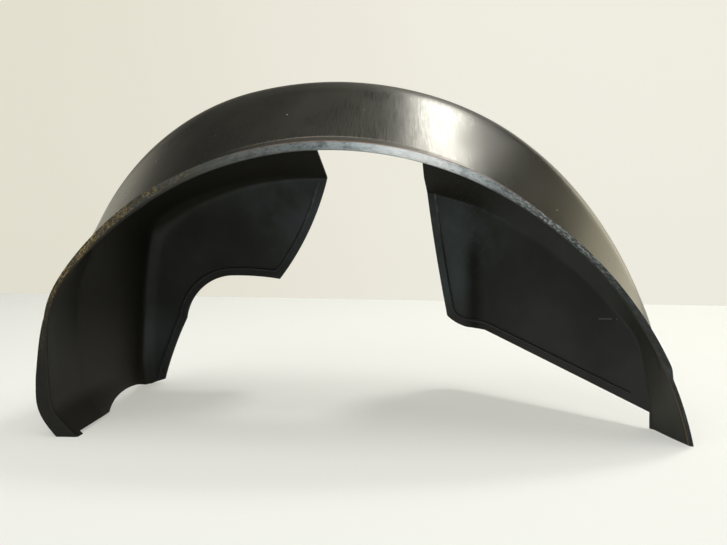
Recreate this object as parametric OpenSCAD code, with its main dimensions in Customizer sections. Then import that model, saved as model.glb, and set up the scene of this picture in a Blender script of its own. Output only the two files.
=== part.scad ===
// Wheel arch liner: one formed plastic sheet that stands on its two ends.
// x runs along the arch, y from the rim into the car, z up from the floor.
// Angles are measured at the wheel axis, from the right foot over the top.

/* [Rim] */
// Radius of the rim, from the wheel axis to the bend of the flange
rim_radius = 340; // [330:1:350]
// Height of the floor over the wheel axis
axis_drop = 65; // [58:1:72]
// How far the upright left end stands inside the rim's full circle
left_inset = 59; // [53:1:65]
// Width of the flange over the top of the arch
flange_width = 10; // [8:0.5:12]
// Outer radius of the bend between flange and band
flange_bend = 3.5; // [3.2:0.1:4]

/* [Band and roof] */
// Height of the crest over the rim
crest_rise = 81; // [72:1:88]
// Angle at which the crest is highest
crest_angle = 102; // [98:1:108]
// Depth of the crest as a share of the depth of the wall
crest_share = 0.48; // [0.4:0.01:0.55]
// Radius over the crest
crest_round = 30; // [20:1:36]

/* [Inner wall] */
// Depth from the rim to the inner wall
depth = 230; // [215:1:245]
// How much larger than the rim the arcs are along which the roof meets the wall
wall_excess = 40; // [34:1:46]
// Radius of the bend between roof and wall
wall_bend = 14; // [8:1:18]
// Distance from the axis at which the right wall starts to slant
slant_start = 130; // [122:1:138]
// Depth of the wall at the right foot
foot_depth = 51; // [44:1:60]

/* [Strut gap] */
// Left side of the gap at the top of the wall
gap_left = -34; // [-42:1:-28]
// Right side of the gap at the top of the wall
gap_right = 82; // [76:1:90]
// Height of the gap over the top of the rim
gap_rise = 17; // [11:1:23]
// Corner radius at the top of the gap
gap_corner = 10; // [4:1:16]

/* [Sheet] */
// Thickness of the sheet
sheet = 2.5; // [2:0.1:3]

/* [Hidden] */

// Places in the side view are drawn for this radius of the rim and grow with it
drawn_radius = 340;
grow = rim_radius / drawn_radius;
rim_top = rim_radius - axis_drop;
left_reach = rim_radius - left_inset;
wall_radius = rim_radius + wall_excess;
gap_top = rim_top + gap_rise;

// Angles at which the surface starts and ends, both below the floor
start_depth = 12;
first_angle = asin((axis_drop - start_depth) / rim_radius);
last_angle = 168;
// The lines across the sheet stand closer together round the left end
lobe_angle = 144;
coarse_steps = 48;
fine_steps = 15;
angles = concat(
    [for (i = [0:coarse_steps]) first_angle + (lobe_angle - first_angle) * i / coarse_steps],
    [for (i = [1:fine_steps]) lobe_angle + (last_angle - lobe_angle) * i / fine_steps]);
stations = len(angles);

// Angle at which the crest crosses the radius of the rim, and where it dies out
rise_start_angle = 25.2;
rise_end_angle = 166;
// Extra height of the crest over the right shoulder
shoulder = 15;

// Flange width against the angle: wide at the lobe, narrow where it was cut close
notch_angle = 22.4;
notch_turn_angle = 0.8;
shoulder_angle = 52;
top_start_angle = 64;
top_end_angle = 124;
side_angle = 146;
lobe_start_angle = 156;
lobe_full_angle = 161;
foot_flange = flange_bend + 0.5;
notch_flange = flange_bend + 3.5;
shoulder_flange = flange_bend + 1.5;
side_flange = flange_bend + 1.1;
lobe_start_flange = 13;
lobe_flange = 15;
last_flange = 19;
flange_table = [
    [notch_angle - notch_turn_angle, foot_flange],
    [notch_angle + notch_turn_angle, notch_flange],
    [shoulder_angle, shoulder_flange],
    [top_start_angle, flange_width],
    [top_end_angle, flange_width],
    [side_angle, side_flange],
    [lobe_start_angle, lobe_start_flange],
    [lobe_full_angle, lobe_flange],
    [last_angle, last_flange]
];

// Depth of the crest as a share of the depth of the wall, less over the lobe
lobe_share = 0.3;
share_from_angle = 140;
share_to_angle = 160;
function share(a) = lookup(a,
    [[share_from_angle, crest_share], [share_to_angle, lobe_share]]);

// Centres of the two arcs of the wall's upper edge, seen from the wheel axis
right_centre = grow * [-7, -75];
left_centre = grow * [-66, -65];

// Straight ends of the wall's upper edge: distance from the axis and direction
right_line = rim_radius - 23;
right_line_angle = 7.5;
left_line = left_reach + 5;
left_line_angle = 172;

// Slanted cut under the lobe: distance from the axis at the rim and at the wall
lobe_cut_rim = 133;
lobe_cut_wall = 156;
lobe_cut_angle = 225;

// Softness of the places where two lines of an edge meet
soft_small = 3;
soft_lobe = 7;
soft_large = 10;

// Bottom of the surface before it is cut to shape
under_floor = -30;

function soft_min(p, q, k) = min(p, q) - k * ln(1 + exp(-abs(p - q) / k));
function line_radius(d, direction, a) =
    cos(a - direction) > 0.05 ? d / cos(a - direction) : d / 0.05;
function arc_radius(c, r, a) =
    let (along = c[0] * cos(a) + c[1] * sin(a))
    along + sqrt(along * along - c * c + r * r);
function unit(v) = v / norm(v);
function blend(p, q, s) = p + (q - p) * s;
function clamp(v) = max(0, min(1, v));

// Distance of the rim from the axis at the left end, cut away under the lobe
far_away = 10000;
function left_end(a) = a < 120 ? far_away
    : soft_min(line_radius(left_reach, 180, a),
        line_radius(lobe_cut_rim, lobe_cut_angle, a), soft_lobe);

function rim_r(a) = soft_min(rim_radius, left_end(a), soft_large);

function rise(a) = a < crest_angle
    ? let (t = 90 * (a - rise_start_angle) / (crest_angle - rise_start_angle))
        crest_rise * sin(t) + shoulder * sin(t) * cos(t) ^ 2
    : crest_rise / 2
        * (1 + cos(180 * (a - crest_angle) / (rise_end_angle - crest_angle)));

// Upper edge of the wall: two arcs, and a straight line down at each end
gap_from_angle = 75;
gap_to_angle = 96;
function over_gap(a) = clamp((a - gap_from_angle) / (gap_to_angle - gap_from_angle));
function wall_arc(a) = arc_radius(blend(right_centre, left_centre, over_gap(a)),
    wall_radius, a);
function wall_r(a) = a < 90
    ? soft_min(wall_arc(a), line_radius(right_line, right_line_angle, a), soft_small)
    : soft_min(wall_arc(a), soft_min(line_radius(left_line, left_line_angle, a),
        line_radius(lobe_cut_wall, lobe_cut_angle, a), soft_small), soft_large);

// The crest stands over the rim, and at the right foot stays over the line to the wall
function crest_r(a) = rim_r(a) + (a > 90 ? rise(a)
    : -soft_min(-rise(a), share(a) * (rim_r(a) - wall_r(a)), soft_small));

// Depth of the wall against x: level, then slanting to the right foot
slant_end = right_line - 5;
soft_slant = 9;
slant = (depth - foot_depth) / (slant_end - slant_start);
function wall_y(x) = depth
    - slant * soft_slant * ln(1 + exp((x - slant_start) / soft_slant));

function spot(r, a, y) = [r * cos(a), y, r * sin(a) - axis_drop];

function rim_point(a) = spot(rim_r(a), a, 0);
function rim_normal(a) =
    let (t = rim_point(a + 0.5) - rim_point(a - 0.5))
    unit([t[2], 0, -t[0]]);
function wall_point(a) =
    let (r = wall_r(a), x = r * cos(a))
    spot(r, a, wall_y(x));
// Foot of the wall's lines: left of the gap they fan out evenly over the floor,
// on the slanted part they lean inwards
fan_step = 2.8;
fan_blend_angle = 6;
lean = 0.45;
function wall_foot(a) =
    let (x0 = wall_r(a) * cos(a),
         x = a > gap_to_angle
             ? blend(x0, gap_left - fan_step * (a - gap_to_angle),
                 clamp((a - gap_to_angle) / fan_blend_angle))
             : x0 - lean * max(0, x0 - slant_start))
    [x, wall_y(x), under_floor];
function crest_point(a) = spot(crest_r(a), a, share(a) * wall_point(a)[1]);

// Arc of n steps that rounds the corner q between the points p and r
function fillet(p, q, r, radius, n) =
    let (u = unit(p - q), v = unit(r - q),
         half = acos(u * v) / 2,
         inward = unit(u + v), across = unit(v - u),
         centre = q + inward * radius / sin(half))
    [for (i = [0:n]) let (f = (90 - half) * (2 * i / n - 1))
        centre - radius * cos(f) * inward + radius * sin(f) * across];

// Bend of the flange, a round nose from the flat flange into the band
function nose(a, n) =
    let (out = rim_normal(a),
         centre = rim_point(a) + flange_bend * (out + [0, 1, 0]),
         run = crest_point(a) - centre,
         turn = 90 + atan2(run * out, run[1]) - asin(flange_bend / norm(run)))
    [for (i = [0:n]) let (f = 180 + turn * i / n)
        centre + flange_bend * (cos(f) * [0, 1, 0] + sin(f) * out)];

function between(p, q, n) = [for (i = [1:n]) blend(p, q, i / (n + 1))];

// The two rounded edges have their full radius where the roof is this wide
crest_room = 60;
bend_room = 40;
least_share = 0.1;
function room(a, width) =
    clamp(norm(crest_point(a) - wall_point(a)) / width + least_share);

// Steps of the three arcs, and shares of the wall's height at its lines
nose_steps = 5;
crest_steps = 6;
bend_steps = 5;
wall_lines = [0.2, 0.45, 0.7, 1];

// One line across the sheet: flange, nose, band, crest, roof, bend, wall
function section(a) =
    let (out = rim_normal(a),
         edge = rim_point(a) + lookup(a, flange_table) * out,
         front = nose(a, nose_steps),
         crest = fillet(front[nose_steps], crest_point(a), wall_point(a),
             crest_round * room(a, crest_room), crest_steps),
         corner = fillet(crest[crest_steps], wall_point(a), wall_foot(a),
             wall_bend * room(a, bend_room), bend_steps))
    concat([edge], front, between(front[nose_steps], crest[0], 3), crest,
        between(crest[crest_steps], corner[0], 2), corner,
        [for (s = wall_lines)
            let (p = blend(corner[bend_steps], wall_foot(a), s))
            [p[0], wall_y(p[0]), p[2]]]);

grid = [for (a = angles) section(a)];
columns = len(grid[0]);

function near(i, n) = max(0, min(n - 1, i));
function normal(i, j) = unit(cross(
    grid[i][near(j + 1, columns)] - grid[i][near(j - 1, columns)],
    grid[near(i + 1, stations)][j] - grid[near(i - 1, stations)][j]));

function back_point(i, j) = grid[i][j] + sheet * normal(i, j);

// Closed sheet between the front grid and its points set back by the thickness
module sheet_body() {
    front = [for (line = grid) each line];
    back = [for (i = [0:stations - 1]) for (j = [0:columns - 1]) back_point(i, j)];
    count = stations * columns;
    faces = concat(
        [for (i = [0:stations - 2]) for (j = [0:columns - 2])
            let (k = i * columns + j) each [
                [k, k + 1, k + columns + 1],
                [k, k + columns + 1, k + columns],
                [count + k, count + k + columns + 1, count + k + 1],
                [count + k, count + k + columns, count + k + columns + 1]]],
        [for (i = [0:stations - 2]) for (j = [0, columns - 1])
            let (k = i * columns + j,
                 q = [k, k + columns, count + k + columns, count + k])
            j == 0 ? q : [q[3], q[2], q[1], q[0]]],
        [for (j = [0:columns - 2]) for (i = [0, stations - 1])
            let (k = i * columns + j,
                 q = [k + 1, k, count + k, count + k + 1])
            i == 0 ? q : [q[3], q[2], q[1], q[0]]]);
    polyhedron(concat(front, back), faces);
}

// Arc of n steps from p that ends short of q, swelling to the left of its way
function bow(p, q, swell, n) =
    let (half = norm(q - p) / 2,
         radius = (half * half / swell + swell) / 2,
         way = unit(q - p), left = [-way[1], way[0]],
         centre = (p + q) / 2 + left * (swell - radius),
         reach = asin(half / abs(radius)),
         turn = swell > 0 ? 1 : -1)
    [for (i = [0:n - 1]) let (f = reach * (2 * i / n - 1))
        centre + left * abs(radius) * turn * cos(f) + way * abs(radius) * sin(f)];

// How far the cuts reach past the sheet and below the floor
margin = 20;
below = 40;

// Corners of the outline under which the sheet is cut away, from left to right
flap_heel = grow * [-268, -0.5];
flap_corner = grow * [-250, 5];
waist = grow * [-217, 82];
shelf = grow * [-159, 134];
strut_left = grow * [-97, 129];
gap_foot_left = [gap_left, rim_top - 26];
gap_foot_right = [gap_right, rim_top - 29];
strut_right = grow * [104, 83];
step_right = grow * [127, 70];
slope_right = grow * [148, 69];
foot_corner = [rim_radius - 32, grow * 16];

// How far each stretch of the outline bows out or in
flap_bow = 2;
waist_bow = 13.5;
shelf_bow = 1.5;
strut_left_bow = -7;
strut_right_bow = -1.5;
step_bow = -2;
left_edge = concat(
    bow(flap_corner, waist, flap_bow, 4),
    bow(waist, shelf, waist_bow, 8),
    bow(shelf, strut_left, shelf_bow, 3),
    bow(strut_left, gap_foot_left, strut_left_bow, 8),
    [gap_foot_left]);
right_edge = concat(
    bow(gap_foot_right, strut_right, strut_right_bow, 8),
    bow(strut_right, step_right, step_bow, 3),
    [step_right, slope_right, foot_corner]);
opening = concat(
    [[flap_heel[0], -below], flap_heel],
    left_edge, right_edge,
    [[foot_corner[0], -below]]);

// Gap for the strut, through the wall and into the roof, a little wider at its top
gap_low = rim_top - 125;
gap_lean_left = 5;
gap_lean_right = 1;
gap = [
    gap_foot_left,
    [gap_left - gap_lean_left, gap_top],
    [gap_right + gap_lean_right, gap_top],
    gap_foot_right,
    [gap_right, gap_low],
    [gap_left, gap_low]
];

// Depths at which the two cuts start
gap_start = 75;
opening_start = 12;

module cutter(start) {
    translate([0, depth + margin, 0])
        rotate([90, 0, 0])
            linear_extrude(depth + margin - start)
                children();
}

// Half-round rib on the front of the wall, at an even distance from its cut edges
rib_inset = 9;
rib_radius = 1.1;
rib_step = 8;
rib_top_left = rim_top - 43;
rib_top_right = rim_top - 65;
rib_end = rim_radius - 48;

function aside(v) = unit([-v[1], v[0]]);
function inset(path, d) = [for (i = [0:len(path) - 1])
    let (p = path[max(0, i - 1)], q = path[i], r = path[min(len(path) - 1, i + 1)],
         n1 = aside(i == 0 ? r - q : q - p),
         n2 = aside(i == len(path) - 1 ? q - p : r - q),
         m = unit(n1 + n2))
    q + m * d / (m * n1)];

// Last point of the right rib, short of the foot on the slope's own line
function foot_end(p) =
    p + (slope_right - foot_corner) * (p[0] - rib_end) / (foot_corner[0] - slope_right[0]);

module rib_ball(p) {
    translate([p[0], wall_y(p[0]), p[1]]) sphere(rib_radius, $fn = 8);
}

module rib(path) {
    for (i = [0:len(path) - 2]) {
        steps = ceil(norm(path[i + 1] - path[i]) / rib_step);
        for (k = [1:steps])
            hull() {
                rib_ball(blend(path[i], path[i + 1], (k - 1) / steps));
                rib_ball(blend(path[i], path[i + 1], k / steps));
            }
    }
}

// Shallow arc cut into the lower edge between the lobe and the wall
scallop_from = 70;
scallop_to = 224;
scallop_height = 11;
overlap = 1;
module scallop() {
    foot = [scallop_from, -overlap];
    toe = [scallop_to, -overlap];
    translate([-left_reach - margin, 0, 0])
        rotate([90, 0, 90])
            linear_extrude(3 * margin)
                polygon(concat(bow(toe, foot, -scallop_height, 8), [foot]));
}

// All that lies below the floor
module ground() {
    side = 3 * rim_radius;
    translate([-side / 2, -side / 2, -below]) cube([side, side, below]);
}

module trim() {
    scallop();
    cutter(opening_start) polygon(opening);
    cutter(gap_start) offset(gap_corner) offset(-gap_corner) polygon(gap);
    ground();
}

// The frame's origin is at the middle of the part, on the floor
left_end_x = min([for (i = [0:stations - 1]) for (j = [0:columns - 1])
    back_point(i, j)[0]]);
right_end_x = sqrt((rim_radius + foot_flange) ^ 2 - axis_drop ^ 2);
middle = [(left_end_x + right_end_x) / 2, (depth + sheet) / 2, 0];

module liner() {
    color("dimgray") translate(-middle)
        union() {
            difference() {
                sheet_body();
                trim();
            }
            rib([for (p = inset(left_edge, rib_inset)) if (p[1] < rib_top_left) p]);
            rib([for (p = inset(right_edge, rib_inset)) if (p[1] < rib_top_right)
                p[0] < rib_end ? p : foot_end(p)]);
        }
}

liner();
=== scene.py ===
# %% [markdown]
# # A wheel arch liner in black formed plastic
# The liner is one sheet of plastic, drawn over a mould while hot and trimmed cold. This
# lesson loads the packed model as a fixed frame and sets the camera. Then it mixes the
# finishes, forms and trims the sheet, sweeps the rib, and sets the table and the lights.

# %% Load the frame
import math
import bmesh
import bpy
from mathutils import Matrix, Vector


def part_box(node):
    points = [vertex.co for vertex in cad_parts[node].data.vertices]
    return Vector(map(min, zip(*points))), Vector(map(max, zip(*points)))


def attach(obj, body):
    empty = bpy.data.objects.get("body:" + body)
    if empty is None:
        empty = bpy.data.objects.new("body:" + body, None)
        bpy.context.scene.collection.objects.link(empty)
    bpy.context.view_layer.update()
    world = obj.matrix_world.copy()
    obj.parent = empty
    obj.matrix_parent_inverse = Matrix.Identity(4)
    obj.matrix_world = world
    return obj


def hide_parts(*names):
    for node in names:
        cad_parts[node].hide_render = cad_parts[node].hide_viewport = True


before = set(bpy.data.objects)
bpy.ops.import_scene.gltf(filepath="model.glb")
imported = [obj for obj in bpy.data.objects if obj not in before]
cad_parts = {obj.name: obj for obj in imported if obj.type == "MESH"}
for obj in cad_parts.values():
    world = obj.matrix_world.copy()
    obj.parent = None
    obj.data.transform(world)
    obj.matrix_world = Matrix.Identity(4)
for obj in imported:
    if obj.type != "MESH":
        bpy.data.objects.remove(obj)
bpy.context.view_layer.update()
low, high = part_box("liner")
print(len(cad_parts), "node, from", [round(v, 4) for v in low],
      "to", [round(v, 4) for v in high])

# %% [markdown]
# ## The wheel axis
# Nearly every line and mark on the sheet follows the arch, so all of them are laid out round
# the wheel axis, by an angle along the arch and a distance from the axis. The rim lies in
# the plane of the lowest y and is a circle, apart from an upright lobe on the left. Sizes of
# the sheet are written in millimetres and degrees, as a maker would, and turned to metres
# where Blender needs them.

# %% Wheel axis and rim
MM = 0.001
RIM_RADIUS = 340.0
AXIS_DROP = 65.0
FOOT_FLANGE = 4
rim_y = low.y
axis_x = high.x - math.sqrt((RIM_RADIUS + FOOT_FLANGE) ** 2 - AXIS_DROP ** 2) * MM
print("wheel axis at x", round(axis_x, 4), "and z", -AXIS_DROP * MM,
      "with the rim at y", round(rim_y, 4))

# %% [markdown]
# ## Camera
# A real lens keeps its rays straight, so a pinhole with the right focal length, place and
# turn gives the same perspective. The camera looks a little to the left and down.

# %% Camera
CAMERA_AT = Vector((axis_x + 0.1723, rim_y - 0.8219, 0.2567))
FOCAL_PIXELS = 900
FRAME_PIXELS = 727
YAW, PITCH, ROLL = (math.radians(v) for v in (-9, 6.497, -1.843))


def camera_turn(yaw, pitch, roll):
    """Rotation of a camera that looks along +y, turned, lowered and rolled by the angles."""
    ahead = Vector((math.sin(yaw) * math.cos(pitch), math.cos(yaw) * math.cos(pitch),
                    -math.sin(pitch)))
    right = Vector((math.cos(yaw), -math.sin(yaw), 0))
    up = right.cross(ahead)
    c, s = math.cos(roll), math.sin(roll)
    return Matrix((c * right + s * up, c * up - s * right, -ahead)).transposed()


camera_data = bpy.data.cameras.new("camera")
camera_data.sensor_width = 36
camera_data.lens = FOCAL_PIXELS / FRAME_PIXELS * camera_data.sensor_width
camera_data.clip_start = 0.01
camera = bpy.data.objects.new("camera", camera_data)
camera.matrix_world = (Matrix.Translation(CAMERA_AT)
                       @ camera_turn(YAW, PITCH, ROLL).to_4x4())
bpy.context.scene.collection.objects.link(camera)
bpy.context.scene.camera = camera
bpy.context.scene.view_settings.view_transform = "Standard"
print("lens", round(camera_data.lens, 2), "mm")

# %% [markdown]
# ## Nodes as expressions
# Shader maths reads best as an expression. `Value` wraps a socket and overloads the
# operators, so that `1 - mask * 0.5` adds its own Math nodes; `Net.node` adds any other.

# %% Values that can be added and multiplied


class Value:
    """A node's output, or one that is made from it by arithmetic."""

    def __init__(self, net, socket):
        self.net, self.socket = net, socket

    def math(self, operation, *others):
        return self.net.node("ShaderNodeMath", {"operation": operation}, [self, *others])

    def __add__(self, other):
        return self.math("ADD", other)

    def __sub__(self, other):
        return self.math("SUBTRACT", other)

    def __mul__(self, other):
        return self.math("MULTIPLY", other)

    def __truediv__(self, other):
        return self.math("DIVIDE", other)

    def __pow__(self, other):
        return self.math("POWER", other)

    def __neg__(self):
        return self * -1

    def __radd__(self, other):
        return self + other

    def __rmul__(self, other):
        return self * other

    def __rsub__(self, other):
        return self.net.node("ShaderNodeMath", {"operation": "SUBTRACT"}, [other, self])

    def __rtruediv__(self, other):
        return self.net.node("ShaderNodeMath", {"operation": "DIVIDE"}, [other, self])


print("reflected forms:", ", ".join(name for name in vars(Value) if name.startswith("__r")))

# %% Nets that add nodes


class Net:
    """A node tree written as expressions."""

    def __init__(self, tree):
        self.tree = tree

    def node(self, kind, settings=None, values=(), out=0):
        """Adds a node with its settings, then values or links by order or name."""
        made = self.tree.nodes.new(kind)
        for name, value in (settings or {}).items():
            if name == "stops":
                self.set_stops(made.color_ramp, value)
            else:
                setattr(made, name, value)
        pairs = values.items() if isinstance(values, dict) else enumerate(values)
        for key, value in pairs:
            if isinstance(value, Value):
                self.tree.links.new(value.socket, made.inputs[key])
            elif value is not None:
                made.inputs[key].default_value = value
        return Value(self, made.outputs[out])

    def set_stops(self, ramp, stops):
        """Gives a colour ramp its stops, each a place and a colour."""
        while len(ramp.elements) > 1:
            ramp.elements.remove(ramp.elements[-1])
        for i, (place, colour) in enumerate(stops):
            stop = ramp.elements[0] if i == 0 else ramp.elements.new(place)
            stop.position, stop.color = place, (*colour, 1)


def parts_of(net, place):
    """The three numbers of a vector."""
    made = net.node("ShaderNodeSeparateXYZ", values=[place]).socket.node
    return [Value(net, made.outputs[i]) for i in range(3)]


def joined(net, x, y, z=0.0):
    """A vector from three numbers."""
    return net.node("ShaderNodeCombineXYZ", values=[x, y, z])


print("a net has", ", ".join(name for name in vars(Net) if not name.startswith("__")))

# %% [markdown]
# ## Tools for the finishes
# The sheet is black all through, but each side has its own skin. The outer side lay on a
# polished mould and is glossy. The inner side is satin, and its flange is scraped pale. The
# sawn edges are dull. Every finish is one Principled shader whose changing inputs are
# expressions of noises and masks, and whose fixed ones are written straight on the shader.
# A mask is a number from 0 to 1, and soft ends keep it from looking painted on.

# %% Masks and noises
RIM_DEGREE = RIM_RADIUS * MM * math.pi / 180
MAP_NAME = "sheet_map"


def noise(net, place, detail=2.0, scale=1.0, roughness=0.5):
    """A cloudy noise, mostly between 0.3 and 0.7."""
    return net.node("ShaderNodeTexNoise",
                    values={"Vector": place, "Scale": scale, "Detail": detail,
                            "Roughness": roughness})


def between(value, start, end):
    """0 before the start, 1 after the end, and soft between them."""
    return value.net.node("ShaderNodeMapRange", {"interpolation_type": "SMOOTHSTEP"},
                          {"Value": value, "From Min": start, "From Max": end})


def hill(value, middle, reach):
    """1 in the middle, falling softly to 0 at the reach on both sides."""
    return 1 - between((value - middle).math("ABSOLUTE"), 0.0, reach)


def blob(net, place, centre, reach):
    """1 at the centre, falling softly to 0 at the reach all round."""
    away = net.node("ShaderNodeVectorMath", {"operation": "DISTANCE"}, [place, centre], out=1)
    return 1 - between(away, 0.0, reach)


def mixed(net, factor, first, second):
    """A colour between two others, which a colour Mix takes at its inputs 6 and 7."""
    return net.node("ShaderNodeMix", {"data_type": "RGBA"}, {0: factor, 6: first, 7: second},
                    out=2)


print("one degree of the rim is", round(RIM_DEGREE / MM, 3), "mm long")

# %% Materials


def emptied(owner):
    """The node tree of a material or a world, emptied, as a net."""
    owner.use_nodes = True
    owner.node_tree.nodes.clear()
    return Net(owner.node_tree)


def blank(name):
    """A new material with an empty tree, and the tree as a net."""
    material = bpy.data.materials.new(name)
    return material, emptied(material)


def finish(name, colour, roughness, bumps, fixed):
    """A Principled shader from changing colour, roughness and bumps, and fixed values."""
    net = colour.net
    shader = net.tree.nodes.new("ShaderNodeBsdfPrincipled")
    for label, value in fixed.items():
        shader.inputs[label].default_value = value
    net.tree.links.new(colour.socket, shader.inputs["Base Color"])
    net.tree.links.new(roughness.socket, shader.inputs["Roughness"])
    normal = None
    for height, distance in bumps:
        normal = net.node("ShaderNodeBump", values={"Height": height, "Distance": distance,
                                                    "Strength": 1.0, "Normal": normal})
    net.tree.links.new(normal.socket, shader.inputs["Normal"])
    net.tree.links.new(shader.outputs[0],
                       net.tree.nodes.new("ShaderNodeOutputMaterial").inputs[0])
    print("finish", repr(name), "of", len(net.tree.nodes), "nodes")


print(len(bpy.data.materials), "materials before the first finish")

# %% [markdown]
# ## Outer side
# The mould and the air pressure draw the hot sheet from the flange to the crest, and leave
# fine streaks that way, most of all over the top. They widen the reflection of a lamp along
# the arch only. So the streaks are a noise that is pressed together along the arch and drawn
# out across it, laid on the sheet's own map, which turns with the arch. Towards the feet
# they lean over more.

# %% Streaks of the drawing
STREAK_LEAN, LEAN_PER_DEGREE, LEAN_ANGLE = 0.21, 0.023, 80
MOST_DRAWN = (79.0, 14.0)
OUTER_SIDE, net = blank("glossy outer side")
u, v, _ = parts_of(net, net.node("ShaderNodeUVMap", {"uv_map": MAP_NAME}))
place = net.node("ShaderNodeTexCoord", out="Object")
arch_angle = u / RIM_DEGREE
upright = u - v * (STREAK_LEAN + (LEAN_ANGLE - arch_angle) * LEAN_PER_DEGREE)
drawn = 0.10 + hill(arch_angle, *MOST_DRAWN)
streaks = noise(net, joined(net, upright * 700, v * 20), detail=3.0, roughness=0.6)
fine_streaks = noise(net, joined(net, upright * 1900, v * 45), detail=1.0)
print("streaks lean by", STREAK_LEAN, "at", LEAN_ANGLE, "degrees")

# %% [markdown]
# Dust from handling and a few bright specks lie over the black. A painted sheen lies on the
# right shoulder, and a thin painted highlight runs along a small bead low on the band. The
# specks come from a cell noise, of which only some cells are chosen, because real specks are
# few and sharp.

# %% Black with dust, painted sheen, painted bead highlight and specks
DEEP_BLACK, DUSTY_BLACK = (0.0045, 0.0042, 0.0030, 1), (0.0090, 0.0084, 0.0056, 1)
SHOULDER_SHEEN, STREAK_HIGHLIGHT = (0.050, 0.046, 0.032, 1), (0.026, 0.025, 0.020, 1)
BEAD_HIGHLIGHT, SPECK_PALE = (0.22, 0.19, 0.16, 1), (0.42, 0.41, 0.37, 1)
SHOULDER_SHEEN_ARCH = (46.0, 20.0)
BEAD, BEAD_ARCH = (0.0300, 0.0014), (88.0, 22.0)
CELLS_PER_METRE = 55.0
dusty = between(noise(net, place, detail=3.0, scale=16.0, roughness=0.6), 0.35, 0.75)
cells = net.node("ShaderNodeTexVoronoi", {"feature": "F1"},
                 {"Vector": place, "Scale": CELLS_PER_METRE, "Randomness": 1.0}).socket.node
cell_choice = parts_of(net, Value(net, cells.outputs["Color"]))[0]
specks = ((1 - between(Value(net, cells.outputs["Distance"]), 0.02, 0.055))
          * between(cell_choice, 0.72, 0.74))
black = mixed(net, dusty, DEEP_BLACK, DUSTY_BLACK)
# A painted sheen brightens the right shoulder.
black = mixed(net, hill(arch_angle, *SHOULDER_SHEEN_ARCH) * 0.75, black, SHOULDER_SHEEN)
# The streaks are real, but their pale colour is painted highlight, strongest over the top
# where the lamp's reflection lies.
black = mixed(net, between(streaks, 0.58, 0.82) * drawn * 0.35, black, STREAK_HIGHLIGHT)
# A thin painted highlight along a small bead low on the band.
bead_highlight = hill(v, *BEAD) * hill(arch_angle, *BEAD_ARCH)
black = mixed(net, bead_highlight * 0.75, black, BEAD_HIGHLIGHT)
colour = mixed(net, specks, black, SPECK_PALE)
print("black with its marks:", len(net.tree.nodes), "nodes so far")

# %% Outer side together
UNDER_BEAD, UNDER_BEAD_ARCH = (0.0262, 0.0030), (86.0, 24.0)
CREST_HAZE = (0.108, 0.128)
WARM_GLOSS, WARM_SHEEN = (1.0, 0.95, 0.71, 1), (1.0, 0.91, 0.66, 1)
under_bead = hill(v, *UNDER_BEAD) * hill(arch_angle, *UNDER_BEAD_ARCH)
roughness = (0.275 + (streaks - 0.5) * drawn * 0.32 + (fine_streaks - 0.5) * drawn * 0.24
             + dusty * 0.04 + specks * 0.3 + under_bead * 0.35
             + between(v, *CREST_HAZE) * 0.20)
grain = noise(net, place, detail=2.0, scale=900.0)
orange_peel = noise(net, place, detail=1.0, scale=55.0)
finish("outer side", colour, roughness,
       [(orange_peel, 0.00010), ((streaks + fine_streaks * 0.8) * drawn, 0.000022),
        (grain, 0.000010)],
       {"Specular IOR Level": 0.5, "Specular Tint": WARM_GLOSS,
        "Sheen Weight": 0.06, "Sheen Roughness": 0.35, "Sheen Tint": WARM_SHEEN})

# %% [markdown]
# ## Inner side
# The inner side faced the air while it cooled, so it is satin with a fine grain. The wall
# has a few scratches and a scuff, and its colour carries painted light: a bluish painted sheen
# beside the strut gap and at the left foot, and painted shade down a crease that runs down it.
# The nose and the roof are darker by painted shade, apart from a lighter place at the right
# foot. Marks on the wall are placed by x and height, as on a drawing of the side view,
# because the wall is nearly flat.

# %% Satin skin, painted shade and painted sheen
WALL_SHEENS = [((0.103, 0.110, 0.190), 0.085), ((-0.088, 0.114, 0.225), 0.110),
         ((0.085, 0.110, 0.120), 0.050), ((-0.280, 0.105, 0.060), 0.050)]
FLANGE_TABLE = [(21.6, FOOT_FLANGE), (23.2, 7), (52, 6), (64, 10.4), (120, 10.4), (146, 4.6),
                (156, 13), (161, 15), (168, 19)]
LIGHTER_FOOT_ARCH, LIGHTER_FOOT_START = (16.0, 14.0), (0.002, 0.006)


def table_lookup(angle, table):
    """Value at an angle in a table of (angle, value), straight between its rows."""
    value = table[0][1]
    for (a0, v0), (a1, v1) in zip(table, table[1:]):
        share = ((angle - a0) / (a1 - a0)).math("MAXIMUM", 0).math("MINIMUM", 1)
        value = share * (v1 - v0) + value
    return value


INNER_SIDE, net = blank("satin inner side")
u, v, _ = parts_of(net, net.node("ShaderNodeUVMap", {"uv_map": MAP_NAME}))
place = net.node("ShaderNodeTexCoord", out="Object")
x, y, z = parts_of(net, place)
angle = u / RIM_DEGREE
from_rim = v - table_lookup(angle, FLANGE_TABLE) * MM
clouds = noise(net, place, detail=3.0, scale=11.0, roughness=0.55)
# The wall and the roof are lit and shaded copies of one satin: the darker roof and nose are
# painted shade, picked by which way each face points, and the right foot is made lighter.
_, facing, tilt = parts_of(net, net.node("ShaderNodeNewGeometry", out="Normal"))
on_wall = between(facing * -1, 0.35, 0.60) * (1 - between(tilt.math("ABSOLUTE"), 0.20, 0.50))
lit_wall_satin = mixed(net, between(clouds, 0.3, 0.7), (0.0330, 0.0343, 0.0328, 1),
                   (0.0510, 0.0540, 0.0525, 1))
lighter_right_foot = hill(angle, *LIGHTER_FOOT_ARCH) * between(from_rim, *LIGHTER_FOOT_START)
shaded_roof_satin = mixed(net, lighter_right_foot, (0.0072, 0.0070, 0.0055, 1), (0.036, 0.036, 0.029, 1))
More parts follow.
